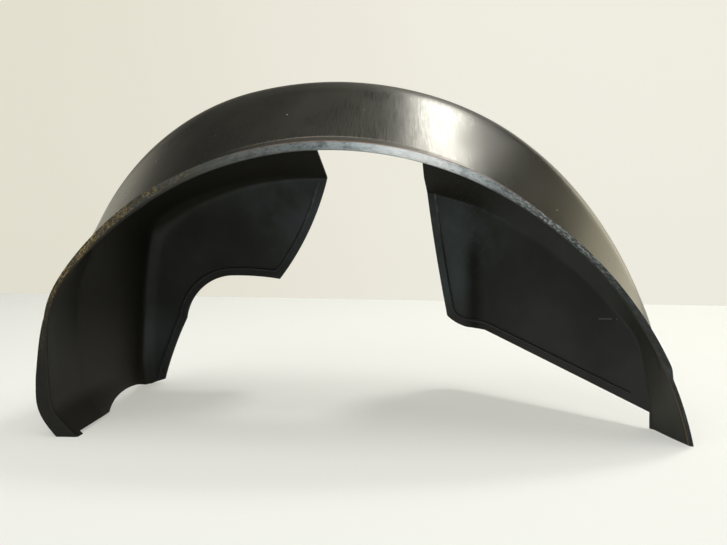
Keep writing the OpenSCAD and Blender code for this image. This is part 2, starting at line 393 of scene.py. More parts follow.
# A bluish painted sheen on the wall, in soft blobs.
wall_sheen = sum((blob(net, place, centre, reach) for centre, reach in WALL_SHEENS), start=0.0)
wall_sheen = wall_sheen * between(clouds, 0.25, 0.6)
satin = mixed(net, on_wall, shaded_roof_satin, lit_wall_satin)
satin = mixed(net, wall_sheen.math("MINIMUM", 1) * on_wall, satin, (0.078, 0.094, 0.102, 1))
print("satin with", len(WALL_SHEENS), "places of film:", len(net.tree.nodes), "nodes so far")

# %% Painted crease shade, scratches and scuff
CREASE_X, CREASE_TOP = (0.1145, 0.015), (0.145, 0.190)
SCUFF_X, SCUFF_Z, SCUFF_SLOPE, DOT_X = 0.2487, 0.1012, 0.15, 0.2588
SCUFF_HALF, SCUFF_THICK = (0.0053, 0.0063), 0.0011
# Painted shade down the crease of the wall.
crease_shade = hill(x, *CREASE_X) * (1 - between(z, *CREASE_TOP))
satin = mixed(net, crease_shade * 0.75, satin, (0.0050, 0.0050, 0.0048, 1))
strokes = noise(net, joined(net, x * 70 + z * 60, x * 900 - z * 1050), detail=2.0)
scratched = between(strokes, 0.60, 0.70) * blob(net, place, *WALL_SHEENS[0])
scuff_line = z - (x - SCUFF_X) * SCUFF_SLOPE
scuff_dash = 1 - between((x - SCUFF_X).math("ABSOLUTE"), *SCUFF_HALF)
scuff = hill(scuff_line, SCUFF_Z, SCUFF_THICK) * (scuff_dash + hill(x, DOT_X, SCUFF_THICK))
scuff = scuff * (1 - between(y, -0.01, 0.0))
satin = mixed(net, (scratched * 0.55 + scuff * 0.8).math("MINIMUM", 1), satin,
              (0.16, 0.17, 0.16, 1))
print("one scuff at x", SCUFF_X, "with its dot at x", DOT_X)

# %% [markdown]
# ## Scraped flange with a painted highlight
# The flange rubbed on the trimming jig. Over the top of the arch it is pale, partly scraped
# and partly a painted highlight, towards the feet it stays black with pale flecks, and on the
# left the flecks are brown with old wax. Where a place is on the arch comes from the map, as
# an angle, and a ramp gives the flange its colour by that angle. Noises that are drawn out
# along the arch dull the scrape again, because a jig leaves chatter and not an even tone.

# %% Scrape and painted highlight by angle
SCRAPE_AND_HIGHLIGHT = [(0, (0.020, 0.020, 0.017)), (36, (0.035, 0.036, 0.033)),
           (49, (0.055, 0.060, 0.055)), (55, (0.13, 0.14, 0.14)),
           (61, (0.24, 0.275, 0.28)), (66, (0.62, 0.68, 0.70)),
           (71, (0.94, 0.97, 0.98)), (77, (0.92, 0.97, 0.99)),
           (84, (0.50, 0.57, 0.60)), (92, (0.22, 0.25, 0.255)),
           (102, (0.14, 0.15, 0.14)), (112, (0.060, 0.056, 0.043)),
           (122, (0.036, 0.033, 0.024)), (132, (0.060, 0.052, 0.034)),
           (142, (0.035, 0.032, 0.024)), (155, (0.020, 0.020, 0.017))]
LEFT_FOOT = (124.0, 142.0)
SPOTTED_ARCH = (68.0, 16.0)
# The ramp's pale peak over the top is partly scraping and partly painted highlight.
scrape_and_highlight = net.node("ShaderNodeValToRGB",
                  {"stops": [(degree / 180, tone) for degree, tone in SCRAPE_AND_HIGHLIGHT]}, [angle / 180])
chatter = noise(net, joined(net, u * 260, v * 900), detail=4.0, roughness=0.65)
mottling = noise(net, joined(net, u * 90, v * 240), detail=3.0, roughness=0.6)
spots = between(noise(net, joined(net, u * 420, v * 420), detail=1.0), 0.70, 0.74)
dull = (between(chatter, 0.42, 0.66) * (0.5 - hill(angle, 76.0, 18.0) * 0.42)
        + between(mottling, 0.46, 0.64) * (0.60 - hill(angle, 75.0, 15.0) * 0.46))
dull = dull * (1 - between(angle, *LEFT_FOOT) * 0.9)
scrape_and_highlight = mixed(net, dull.math("MINIMUM", 0.85), scrape_and_highlight, (0.060, 0.072, 0.080, 1))
scrape_and_highlight = mixed(net, spots * hill(angle, *SPOTTED_ARCH) * 0.85, scrape_and_highlight,
               (0.030, 0.032, 0.034, 1))
print("scrape of", len(SCRAPE_AND_HIGHLIGHT), "tones along the arch")

# %% Flecks and painted edge reflection
PALE_ARCH, BROWN_ARCH, EDGE_SHINE_ARCH = (51.0, 17.0), (130.0, 25.0), (78.0, 34.0)
WAX_WIDTH, EDGE_SHINE_WIDTH = (0.004, 0.009), (0.0006, 0.0012)
flecks = between(noise(net, joined(net, u * 240, v * 640), detail=4.0, roughness=0.8),
                 0.50, 0.58)
groups = between(noise(net, joined(net, u * 34, v * 60)), 0.40, 0.58)
pale_flecks = flecks * hill(angle, *PALE_ARCH)
brown_flecks = flecks * hill(angle, *BROWN_ARCH) * (1 - between(v, *WAX_WIDTH))
# An orange line along the flange's top edge, a painted reflection.
edge_reflection = (1 - between(v, *EDGE_SHINE_WIDTH)) * hill(angle, *EDGE_SHINE_ARCH)
scrape_and_highlight = mixed(net, pale_flecks * 0.8, scrape_and_highlight, (0.54, 0.59, 0.60, 1))
scrape_and_highlight = mixed(net, brown_flecks * (0.35 + groups * 0.6), scrape_and_highlight, (0.52, 0.37, 0.15, 1))
scrape_and_highlight = mixed(net, edge_reflection * 0.8, scrape_and_highlight, (0.30, 0.12, 0.045, 1))
print("pale flecks round", PALE_ARCH[0], "and brown ones round", BROWN_ARCH[0], "degrees")

# %% Inner side together
BEND_HIGHLIGHT_PLACE, BEND_HIGHLIGHT_ARCH = (0.001, 0.0022), (14.0, 24.0)
FLANGE_END = (-0.003, 0.001)
# A golden painted highlight along the nose bend at the right foot.
bend_highlight = hill(from_rim, *BEND_HIGHLIGHT_PLACE) * hill(angle, *BEND_HIGHLIGHT_ARCH)
on_flange = 1 - between(from_rim, *FLANGE_END)
colour = mixed(net, on_flange, satin, scrape_and_highlight)
colour = mixed(net, bend_highlight * 0.7, colour, (0.15, 0.12, 0.06, 1))
grain = noise(net, place, detail=2.0, scale=650.0)
roughness = 0.50 + (clouds - 0.5) * 0.12 + (grain - 0.5) * 0.10 + on_flange * 0.06
finish("inner side", colour, roughness,
       [(clouds, 0.0004), (grain + chatter * on_flange * 2, 0.00003)],
       {"Specular IOR Level": 0.13, "Specular Tint": (1.0, 0.98, 0.86, 1)})

# %% [markdown]
# ## Cut edges
# A saw leaves the edge dull and a little pale, with marks across it. Two noises are enough,
# one for the marks and one for the crumbs that stay on it.

# %% Cut edges
CUT_EDGE, net = blank("sawn edge")
place = net.node("ShaderNodeTexCoord", out="Object")
marks = noise(net, place, detail=3.0, scale=420.0, roughness=0.7)
crumbs = noise(net, place, detail=2.0, scale=90.0)
sawn = mixed(net, between(marks, 0.35, 0.65), (0.022, 0.020, 0.017, 1),
             (0.085, 0.074, 0.058, 1))
sawn = mixed(net, between(crumbs, 0.58, 0.72), sawn, (0.20, 0.17, 0.12, 1))
finish("cut edge", sawn, 0.55 + marks * 0.2, [(marks, 0.0001)], {"Specular IOR Level": 0.4})

# %% [markdown]
# ## Rib with a painted highlight
# The rib stands proud and is smoother than the wall that it lies on. Low down it stays as
# dark as the wall; higher up, beside the strut gap, the height fades it into a pale painted
# highlight where it catches the light.

# %% Rib with painted highlight
HIGHLIGHT_FADES = (0.160, 0.225)
RIB_SKIN, net = blank("rib with painted highlight")
place = net.node("ShaderNodeTexCoord", out="Object")
rib_noise = noise(net, place, detail=3.0, scale=60.0)
height = parts_of(net, place)[2]
rib_highlight = mixed(net, between(rib_noise, 0.40, 0.65), (0.060, 0.066, 0.066, 1),
               (0.160, 0.172, 0.172, 1))
# From 0.16 m up, the rib fades into its pale painted highlight.
rib_highlight = mixed(net, between(height, *HIGHLIGHT_FADES), (0.030, 0.032, 0.031, 1), rib_highlight)
finish("rib with painted highlight", rib_highlight, 0.40 + rib_noise * 0.12, [(noise(net, place, scale=700.0), 0.00002)],
       {"Specular IOR Level": 0.25})

# %% [markdown]
# ## Sizes of the sheet
# A formed liner follows one rule all along the arch: a flange, a band that rises to a crest,
# a roof that falls back to the wall, and the wall. Places in the side view are measured
# across from the wheel axis and up from the floor. The lines start and end a little under
# the floor, so that the ground cut leaves clean feet.

# %% Sizes of the sheet
SIZES = {
    "Rim Radius": RIM_RADIUS,
    "Left Reach": 281.0,
    "Nose Bend": 3.0,
    "Flange Lean": 15.0,
    "Crest Rise": 81.0,
    "Shoulder": 15.0,
    "Crest Share": 0.48,
    "Crest Round": 30.0,
    "Wall Depth": 230.0,
    "Wall Radius": 380.0,
    "Wall Bend": 8.0,
    "Wide Bend": 24.0,
    "Slant Start": 130.0,
    "Foot Depth": 51.0,
    "Forming Waves": 0.15,
}
SHEET = 2.5
BELOW_FLOOR = 12
FIRST_ANGLE = math.degrees(math.asin((AXIS_DROP - BELOW_FLOOR) / RIM_RADIUS))
LAST_ANGLE = 168.0
STATIONS = 240
print(len(SIZES), "sizes; lines across the sheet from", round(FIRST_ANGLE, 2),
      "to", LAST_ANGLE, "degrees")

# %% [markdown]
# ## The arch as fields
# Each edge of the sheet is a distance from the wheel axis that changes with the angle. The
# same arithmetic class that writes shaders writes these fields, so the rule reads like the
# sums in a drawing office. Two lines of an edge meet in a soft corner, never a sharp one,
# because hot plastic does not follow a sharp one.

# %% Helpers for the fields


def largest(value, other):
    """The larger of two values."""
    return value.math("MAXIMUM", other)


def clamped(value):
    """The value, kept from 0 to 1."""
    return largest(value, 0).math("MINIMUM", 1)


def ramp(value, start, end):
    """0 before the start, 1 after the end, and straight between them."""
    return clamped((value - start) / (end - start))


def soft_min(p, q, softness):
    """The smaller of two values, with a soft change from one to the other."""
    gap = (p - q).math("ABSOLUTE")
    curl = ((gap / -softness).math("EXPONENT") + 1).math("LOGARITHM", math.e)
    return p.math("MINIMUM", q) - curl * softness


def cosine(angle):
    """Cosine of an angle in degrees."""
    return (angle * (math.pi / 180)).math("COSINE")


def sine(angle):
    """Sine of an angle in degrees."""
    return (angle * (math.pi / 180)).math("SINE")


def line_radius(distance, direction, angle):
    """Distance from the axis of a straight line, seen at an angle."""
    return distance / largest(cosine(angle - direction), 0.05)


def arc_radius(centre_x, centre_z, radius, angle):
    """Distance from the axis of an arc round another centre, seen at an angle."""
    along = centre_x * cosine(angle) + centre_z * sine(angle)
    return along + (along * along - centre_x * centre_x - centre_z * centre_z
                    + radius * radius).math("SQRT")


print("flange widths from", min(w for _, w in FLANGE_TABLE), "to",
      max(w for _, w in FLANGE_TABLE), "mm")

# %% Rim and wall as fields
LEFT_HALF = (89.9, 90)
LOBE_STARTS, LOBE_SLANT, SLANT_WAY = (119.9, 120), 133, 225
FAR = 10000
WALL_CENTRES, CENTRE_MOVES = ((-7, -75), (-66, -65)), (75, 96)
RIGHT_INSET, RIGHT_WAY = 23, 7.5
LEFT_OUTSET, LEFT_WAY, WALL_SLANT = 5, 172, 156


def rim_distance(size, angle):
    """Distance of the rim: the wheel's circle, and the upright lobe on the left."""
    lobe = soft_min(line_radius(size["Left Reach"], 180, angle),
                    line_radius(LOBE_SLANT, SLANT_WAY, angle), softness=7)
    far_from_lobe = 1 - ramp(angle, *LOBE_STARTS)
    return soft_min(size["Rim Radius"], lobe + far_from_lobe * FAR, softness=10)


def wall_distance(size, angle):
    """Distance of the bend where the roof turns into the wall."""
    over = ramp(angle, *CENTRE_MOVES)
    (x0, z0), (x1, z1) = WALL_CENTRES
    arc = arc_radius(over * (x1 - x0) + x0, over * (z1 - z0) + z0, size["Wall Radius"], angle)
    foot = line_radius(size["Rim Radius"] - RIGHT_INSET, RIGHT_WAY, angle)
    lobe = soft_min(line_radius(size["Left Reach"] + LEFT_OUTSET, LEFT_WAY, angle),
                    line_radius(WALL_SLANT, SLANT_WAY, angle), softness=3)
    right, left = soft_min(arc, foot, softness=3), soft_min(arc, lobe, softness=10)
    return right + (left - right) * ramp(angle, *LEFT_HALF)


print("the wall's arc moves its centre from", WALL_CENTRES[0], "to", WALL_CENTRES[1])

# %% Crest and depth as fields
CREST_START, CREST_ANGLE, CREST_END = 25.2, 102, 166
SHARE_DROP, SHARE_FALLS = 0.18, (140, 160)
FOOT_INSET, SLANT_SOFTNESS = 28, 9


def crest_rise(size, angle):
    """Height of the crest over the rim: up from the right foot, and down to the lobe."""
    up = (angle - CREST_START) * (90 / (CREST_ANGLE - CREST_START))
    rising = size["Crest Rise"] * sine(up) + size["Shoulder"] * sine(up) * cosine(up) ** 2
    down = (angle - CREST_ANGLE) * (180 / (CREST_END - CREST_ANGLE))
    falling = size["Crest Rise"] * (1 + cosine(down)) / 2
    return rising + (falling - rising) * ramp(angle, CREST_ANGLE - 0.1, CREST_ANGLE)


def crest_share(size, angle):
    """Share of the wall's depth at which the crest lies."""
    return size["Crest Share"] - ramp(angle, *SHARE_FALLS) * SHARE_DROP


def wall_depth(size, x):
    """Depth of the wall: level, then slanting to the right foot."""
    slant = (size["Wall Depth"] - size["Foot Depth"]) / (size["Rim Radius"] - FOOT_INSET
                                                       - size["Slant Start"])
    bend = ((x - size["Slant Start"]) / SLANT_SOFTNESS).math("EXPONENT") + 1
    return size["Wall Depth"] - slant * SLANT_SOFTNESS * bend.math("LOGARITHM", math.e)


print("crest from", CREST_START, "to", CREST_END, "degrees, highest at", CREST_ANGLE)

# %% [markdown]
# ## Lines across the sheet
# A toolmaker would cut templates across the arch and stretch the surface over them. The
# tree does the same: five points for each template, joined to a line, and its three corners
# rounded with Fillet Curve. The points could be worked out in Python, but as fields they
# follow the named inputs of the modifier.

# %% The tree and its named inputs


def tree_with_inputs(name, sizes, takes_geometry=False):
    """A geometry tree with an input for each size and the skin, and its inputs as values."""
    tree = bpy.data.node_groups.new(name, "GeometryNodeTree")
    interface = tree.interface
    if takes_geometry:
        interface.new_socket("Geometry", in_out="INPUT", socket_type="NodeSocketGeometry")
    interface.new_socket("Geometry", in_out="OUTPUT", socket_type="NodeSocketGeometry")
    for label, value in sizes.items():
        socket = interface.new_socket(label, in_out="INPUT", socket_type="NodeSocketFloat")
        socket.default_value = value
    interface.new_socket("Skin", in_out="INPUT", socket_type="NodeSocketMaterial")
    net = Net(tree)
    inputs = tree.nodes.new("NodeGroupInput")
    labels = [item.name for item in interface.items_tree if item.in_out == "INPUT"]
    print(repr(name), "has the inputs", ", ".join(labels))
    return net, {label: Value(net, inputs.outputs[label]) for label in labels}


net, size = tree_with_inputs("formed sheet", SIZES)

# %% Helpers for places


def row_and_place(index, per_row):
    """Row of a point and its place in that row, from its index."""
    row = (index / per_row).math("FLOOR")
    return row, index - row * per_row


def line_angle(number):
    """Angle of a line across the sheet, from its number."""
    return number * ((LAST_ANGLE - FIRST_ANGLE) / (STATIONS - 1)) + FIRST_ANGLE


def vector_maths(operation, first, second=None, scale=None, out=0):
    """A Vector Math node."""
    return first.net.node("ShaderNodeVectorMath", {"operation": operation},
                          {0: first, 1: second, "Scale": scale}, out)


def spot(distance, angle, depth):
    """A place at a distance from the axis, an angle and a depth."""
    return joined(angle.net, distance * cosine(angle), depth,
                  distance * sine(angle) - AXIS_DROP)


RAILS = 5
index = net.node("GeometryNodeInputIndex")
station, rail = row_and_place(index, RAILS)
angle = line_angle(station)
print(STATIONS, "lines of", RAILS, "points")

# %% Rim, crest and wall points
STEP = 0.5
rim = rim_distance(size, angle)
wall = wall_distance(size, angle)
wall_x = wall * cosine(angle)
share = crest_share(size, angle)
rise = crest_rise(size, angle)
low_rise = -soft_min(-rise, share * (rim - wall), softness=3)
crest = rim + low_rise + (rise - low_rise) * ramp(angle, *LEFT_HALF)

rim_spot = spot(rim, angle, 0.0)
crest_spot = spot(crest, angle, share * wall_depth(size, wall_x))
wall_spot = spot(wall, angle, wall_depth(size, wall_x))
step = vector_maths("SUBTRACT",
                    spot(rim_distance(size, angle + STEP), angle + STEP, 0.0),
                    spot(rim_distance(size, angle - STEP), angle - STEP, 0.0))
step_x, _, step_z = parts_of(net, step)
outward = vector_maths("NORMALIZE", joined(net, step_z, 0.0, -step_x))
print(len(net.tree.nodes), "nodes lay out rim, crest and wall")

# %% Flange, nose and foot points
LEAN_RISES, LEAN_FALLS = (54, 66), (112, 126)
FOOT_HEIGHT = -30.0
RIGHT_FOOT_SHARE = 0.45
LEFT_FOOT_X, LEFT_FOOT_STEP, LEFT_FOOT_TURNS = -34, 2.8, (96, 102)
flange = table_lookup(angle, FLANGE_TABLE)
flange_lean = (size["Flange Lean"] * ramp(angle, *LEAN_RISES)
               * (1 - ramp(angle, *LEAN_FALLS)))
flange_way = vector_maths("ADD", vector_maths("SCALE", outward, scale=cosine(flange_lean)),
                          joined(net, 0.0, sine(flange_lean), 0.0))
flange_spot = vector_maths("ADD", rim_spot, vector_maths("SCALE", flange_way, scale=flange))
run = vector_maths("NORMALIZE", vector_maths("SUBTRACT", crest_spot, rim_spot))
half_turn = vector_maths("DOT_PRODUCT", run, outward, out=1).math("ARCCOSINE") / 2
nose_shift = size["Nose Bend"] * (1 - 1 / half_turn.math("TANGENT"))
nose_spot = vector_maths("ADD", rim_spot, vector_maths("SCALE", outward, scale=nose_shift))
right_foot = wall_x - largest(wall_x - size["Slant Start"], 0) * RIGHT_FOOT_SHARE
left_foot = LEFT_FOOT_X - LEFT_FOOT_STEP * (angle - LEFT_FOOT_TURNS[0])
foot_x = right_foot + (left_foot - wall_x) * ramp(angle, *LEFT_FOOT_TURNS)
foot_spot = joined(net, foot_x, wall_depth(size, foot_x), FOOT_HEIGHT)
print(len(net.tree.nodes), "nodes lay out the five points")

# %% Lines with rounded corners
CORNER_STEPS = 8
WIDENS = (95, 130)


def at(field, place):
    """1 where a whole-numbered field is at a place, otherwise 0."""
    return field.math("COMPARE", place, 0.5)


place = flange_spot
for turn, target in enumerate((nose_spot, crest_spot, wall_spot, foot_spot), start=1):
    place = net.node("ShaderNodeMix", {"data_type": "VECTOR"},
                     {"Factor": rail.math("GREATER_THAN", turn - 0.5), 4: place, 5: target},
                     out=1)
roof = vector_maths("LENGTH", vector_maths("SUBTRACT", crest_spot, wall_spot), out=1)
wall_bend = size["Wall Bend"] + (size["Wide Bend"] - size["Wall Bend"]) * ramp(angle, *WIDENS)
radius = (at(rail, 1) * size["Nose Bend"]
          + at(rail, 2) * size["Crest Round"] * clamped(roof / 60 + 0.1)
          + at(rail, 3) * wall_bend * clamped(roof / 40 + 0.1))
points = net.node("GeometryNodePoints", values={"Count": STATIONS * RAILS, "Position": place})
lines = net.node("GeometryNodePointsToCurves",
                 values={"Points": points, "Curve Group ID": station, "Weight": rail})
lines = net.node("GeometryNodeFilletCurve", {"mode": "POLY"},
                 {"Curve": lines, "Count": CORNER_STEPS, "Radius": radius})
print("corners rounded in", CORNER_STEPS, "steps")

# %% Lines cut into even pieces
RUN_CUTS = (2, 8, 4, 16)
RUN_POINTS = CORNER_STEPS + 1
ROUNDED = 2 + (len(RUN_CUTS) - 1) * RUN_POINTS
COLUMNS = ROUNDED + sum(RUN_CUTS)
WALL_COLUMN = COLUMNS - 1 - RUN_CUTS[-1]
# Blender cuts a number of cuts down to a whole one, so each gets a little to spare.
TO_SPARE = 0.25
_, along = row_and_place(index, ROUNDED)
cuts = sum((at(along, run_number * RUN_POINTS) * number
            for run_number, number in enumerate(RUN_CUTS)), start=TO_SPARE)
lines = net.node("GeometryNodeSubdivideCurve", values={"Curve": lines, "Cuts": cuts})
print("flange, band, roof and wall with", RUN_CUTS, "cuts give", COLUMNS, "points")

# %% [markdown]
# ## The skin over the lines
# A grid with one row for each line takes its places from them. Lofting nodes do not exist,
# but Sample Index on a grid does the same and keeps every face a tidy quad. Each face also
# learns where it lies on the sheet, along the arch and across it, as a UV map, so that the
# finish can follow the forming. Forming leaves faint waves, which the grid takes along.

# %% Grid and map
grid = net.node("GeometryNodeMeshGrid", values={"Vertices X": STATIONS, "Vertices Y": COLUMNS})
across = net.node("GeometryNodeSplineParameter", out="Length")
position = net.node("GeometryNodeInputPosition")
row, column = row_and_place(index, COLUMNS)


def sampled(kind, value):
    """A value of the lines, taken at the point with the same index."""
    return net.node("GeometryNodeSampleIndex", {"data_type": kind, "domain": "POINT"},
                    {"Geometry": lines, "Value": value, "Index": index})


x, y, z = parts_of(net, sampled("FLOAT_VECTOR", position))
y = y + (wall_depth(size, x) - y) * column.math("GREATER_THAN", WALL_COLUMN - 0.5)
grid = net.node("GeometryNodeSetPosition",
                values={"Geometry": grid, "Position": joined(net, x, y, z)})
lay = joined(net, line_angle(row) * (math.pi / 180 * MM) * size["Rim Radius"],
             sampled("FLOAT", across) * MM, 0.0)
grid = net.node("GeometryNodeStoreNamedAttribute", {"data_type": "FLOAT_VECTOR"},
                {"Geometry": grid, "Name": "lay", "Value": lay})
read_lay = net.node("GeometryNodeInputNamedAttribute", {"data_type": "FLOAT_VECTOR"}, ["lay"])
grid = net.node("GeometryNodeStoreNamedAttribute",
                {"data_type": "FLOAT2", "domain": "CORNER"},
                {"Geometry": grid, "Name": MAP_NAME, "Value": read_lay})
print("grid of", STATIONS, "by", COLUMNS, "points")

# %% Waves, metres and skin
WAVES_PER_MM = 0.012


def in_metres(net, geometry):
    """Geometry in millimetres round the axis, turned to metres at its place in the frame."""
    return net.node("GeometryNodeTransform",
                    values={"Geometry": geometry, "Scale": (MM, MM, MM),
                            "Translation": (axis_x, rim_y, 0)})


wave = net.node("ShaderNodeTexNoise",
                values={"Vector": position, "Scale": WAVES_PER_MM, "Detail": 1.0})
swell = vector_maths("SCALE", net.node("GeometryNodeInputNormal"),
                     scale=(wave - 0.5) * 2 * size["Forming Waves"])
grid = net.node("GeometryNodeSetPosition", values={"Geometry": grid, "Offset": swell})
grid = in_metres(net, grid)
grid = net.node("GeometryNodeSetMaterial", values={"Geometry": grid, "Material": size["Skin"]})
grid = net.node("GeometryNodeRealizeInstances", values=[grid])
net.tree.links.new(grid.socket, net.tree.nodes.new("NodeGroupOutput").inputs[0])
print("the tree has", len(net.tree.nodes), "nodes")

# %% [markdown]
# ## Thickness and trimming
# After forming, the sheet gets its cut edges from a saw and a router. So the skin first
# becomes a solid sheet, with Solidify, and then loses whatever lies under the trim line,
# with one Boolean for each cutter. Inner side, outer side and cut edge keep a material
# each, because the plastic looks different on them.

# %% Skin to sheet


def finished(thing):
    """The object with its modifiers applied, as a plain mesh."""
    depsgraph = bpy.context.evaluated_depsgraph_get()
    mesh = bpy.data.meshes.new_from_object(thing.evaluated_get(depsgraph))
    thing.modifiers.clear()
    thing.data = mesh
    return thing


def new_object(name, mesh=None):
    """An object of the scene, with a mesh or an empty one."""
    made = bpy.data.objects.new(name, mesh or bpy.data.meshes.new(name))
    bpy.context.scene.collection.objects.link(made)
    return made


def run_tree(thing, tree, values):
    """Runs a tree on the object, with values for its named inputs, and keeps the mesh."""
    modifier = thing.modifiers.new(tree.name, "NODES")
    modifier.node_group = tree
    for item in tree.interface.items_tree:
        if item.in_out == "INPUT" and item.name in values:
            modifier[item.identifier] = values[item.name]
    return finished(thing)


SIDES = (INNER_SIDE, OUTER_SIDE, CUT_EDGE)
liner = run_tree(new_object("formed_liner"), net.tree, {**SIZES, "Skin": INNER_SIDE})
liner.data.materials.clear()
for side in SIDES:
    liner.data.materials.append(side)
liner.data.polygons.foreach_set("material_index", [0] * len(liner.data.polygons))
thicken = liner.modifiers.new("thickness", "SOLIDIFY")
thicken.thickness, thicken.offset = SHEET * MM, -1
thicken.material_offset, thicken.material_offset_rim = 1, 2
print("skin of", len(liner.data.polygons), "faces")

# %% [markdown]
# The trim line is drawn as the trimmer would mark it: corners on the side view, and shallow
# bows between them. Each bow is given by its swell, and each round corner by its radius.

# %% Bows and round corners


def bowed(start, end, swell, steps):
    """Points of an arc that swells to the left of its way, without its last point."""
    start, end = Vector(start), Vector(end)
    half = (end - start).length / 2
    radius = (half * half / swell + swell) / 2
    way = (end - start).normalized()
    left = Vector((-way.y, way.x))
    centre = (start + end) / 2 + left * (swell - radius)
    reach = math.asin(half / abs(radius))
    turns = (reach * (2 * i / steps - 1) for i in range(steps))
    return [centre + left * radius * math.cos(t) + way * abs(radius) * math.sin(t)
            for t in turns]


def rounded(before, corner, after, radius, steps=8):
    """Points of an arc that rounds a corner."""
    before, corner, after = Vector(before), Vector(corner), Vector(after)
    u, v = (before - corner).normalized(), (after - corner).normalized()
    half = u.angle(v) / 2
    inward = (u + v).normalized()
    side = (v - u).normalized()
    centre = corner + inward * radius / math.sin(half)
    turns = ((math.pi / 2 - half) * (2 * i / steps - 1) for i in range(steps + 1))
    return [centre - radius * math.cos(t) * inward + radius * math.sin(t) * side
            for t in turns]


def points_of(*places):
    """The places as vectors."""
    return [Vector(p) for p in places]


print("a straight run bowed by 2 mm:", len(bowed((0, 0), (50, 0), 2, 6)), "points")

# %% Outlines of the cutters
BELOW, FLAP_EDGE = -40, -268
FLAP_CORNER, WAIST, SHELF, STRUT_LEFT = (-250, 5), (-217, 82), (-159, 134), (-97, 129)
GAP_LEFT, GAP_RIGHT = (-34, 249), (82, 246)
GAP_TOP_LEFT, GAP_TOP_RIGHT, GAP_ROUND, GAP_FOOT = (-39, 292), (83, 292), 10, 150
STRUT_RIGHT, STEP_RIGHT, SLOPE_RIGHT, FOOT_CORNER = (104, 83), (127, 70), (148, 69), (308, 16)
SCALLOP_FROM, SCALLOP_TO, SCALLOP_RISE = (224, -1), (70, -1), -11
left_edge = (bowed(FLAP_CORNER, WAIST, 2, 6) + bowed(WAIST, SHELF, 13.5, 16)
             + bowed(SHELF, STRUT_LEFT, 1.5, 6) + bowed(STRUT_LEFT, GAP_LEFT, -7, 16)
             + points_of(GAP_LEFT))
right_edge = (bowed(GAP_RIGHT, STRUT_RIGHT, -1.5, 12) + bowed(STRUT_RIGHT, STEP_RIGHT, -2, 8)
              + points_of(STEP_RIGHT, SLOPE_RIGHT, FOOT_CORNER))
opening = (points_of((FLAP_EDGE, BELOW), (FLAP_EDGE, -0.5)) + left_edge + right_edge
           + points_of((FOOT_CORNER[0], BELOW)))
gap = (points_of(GAP_LEFT) + rounded(GAP_LEFT, GAP_TOP_LEFT, GAP_TOP_RIGHT, GAP_ROUND)
       + rounded(GAP_TOP_LEFT, GAP_TOP_RIGHT, GAP_RIGHT, GAP_ROUND)
       + points_of(GAP_RIGHT, (GAP_RIGHT[0], GAP_FOOT), (GAP_LEFT[0], GAP_FOOT)))
scallop = bowed(SCALLOP_FROM, SCALLOP_TO, SCALLOP_RISE, 16) + points_of(SCALLOP_TO)
ground = points_of((-500, BELOW - 20), (500, BELOW - 20), (500, 0), (-500, 0))
print("the opening has", len(opening), "corners, the gap", len(gap))

# %% Cutters


def prism(name, outline, start, end, across_arch=False):
    """A cutter: an outline drawn out in depth, or along x, with the cut edge's finish."""
    def placed(point, depth):
        u, v = point.x, point.y
        return ((depth, u, v) if across_arch else (u, depth, v))
    corners = [placed(p, d) for d in (start, end) for p in outline]
    count = len(outline)
    sides = [(i, (i + 1) % count, (i + 1) % count + count, i + count) for i in range(count)]
    mesh = bpy.data.meshes.new(name)
    mesh.from_pydata([(x * MM + axis_x, y * MM + rim_y, z * MM) for x, y, z in corners], [],
                     sides + [tuple(range(count)), tuple(range(count, 2 * count))])
    bm = bmesh.new()
    bm.from_mesh(mesh)
    bmesh.ops.recalc_face_normals(bm, faces=bm.faces)
    for face in bm.faces:
        face.material_index = SIDES.index(CUT_EDGE)
    bm.to_mesh(mesh)
    bm.free()
    for side in SIDES:
        mesh.materials.append(side)
    return new_object(name, mesh)


cutters = [
    prism("ground", ground, start=-100, end=400),
    prism("scallop", scallop, start=-310, end=-240, across_arch=True),
    prism("opening", opening, start=12, end=250),
    prism("strut gap", gap, start=75, end=250),
]
print("cutters:", ", ".join(cutter.name for cutter in cutters))

# %% Cuts, smooth bends and sharp edges
SHARP_CUT = 40


def smooth_below(thing, degrees):
    """Smooth shading, apart from edges that turn by more than the angle."""
    thing.data.polygons.foreach_set("use_smooth", [True] * len(thing.data.polygons))
    thing.data.set_sharp_from_angle(angle=math.radians(degrees))


for cutter in cutters:
    cut = liner.modifiers.new(cutter.name, "BOOLEAN")
    cut.object, cut.operation, cut.solver = cutter, "DIFFERENCE", "EXACT"
    cut.material_mode = "INDEX"
finished(liner)
for cutter in cutters:
    bpy.data.objects.remove(cutter)
smooth_below(liner, SHARP_CUT)
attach(liner, "root")
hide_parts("liner")
counts = [0] * len(SIDES)
for face in liner.data.polygons:
    counts[face.material_index] += 1
print("faces inside, outside and on cut edges:", counts)

# %% [markdown]
# ## Rib beside the trim line
# A half-round rib runs along the wall at an even distance from its cut edge and keeps the
# thin edge from fluttering. It follows a path, so a tree lays the path on the wall, by the
# wall's own rule, and sweeps a circle along it. Half of the circle is sunk in the sheet.

# %% Path of the rib
RIB_INSET = 9
RIB_TOPS = (246, 240)
RIB_END = 292


def aside(way):
    """The direction to the left of a way, one long."""
    return Vector((-way.y, way.x)).normalized()


def inset(path, distance):
    """The path moved to its left by a distance."""
    moved = []
    for i, here in enumerate(path):
        before, after = path[max(0, i - 1)], path[min(len(path) - 1, i + 1)]
        first = aside(here - before if i else after - here)
        second = aside(after - here if i < len(path) - 1 else here - before)
        middle = (first + second).normalized()
        moved.append(here + middle * distance / middle.dot(first))
    return moved


def foot_end(point):
    """The point moved back up the slope to where the rib ends."""
    slope = Vector(SLOPE_RIGHT) - Vector(FOOT_CORNER)
    return point - slope * ((point.x - RIB_END) / slope.x)


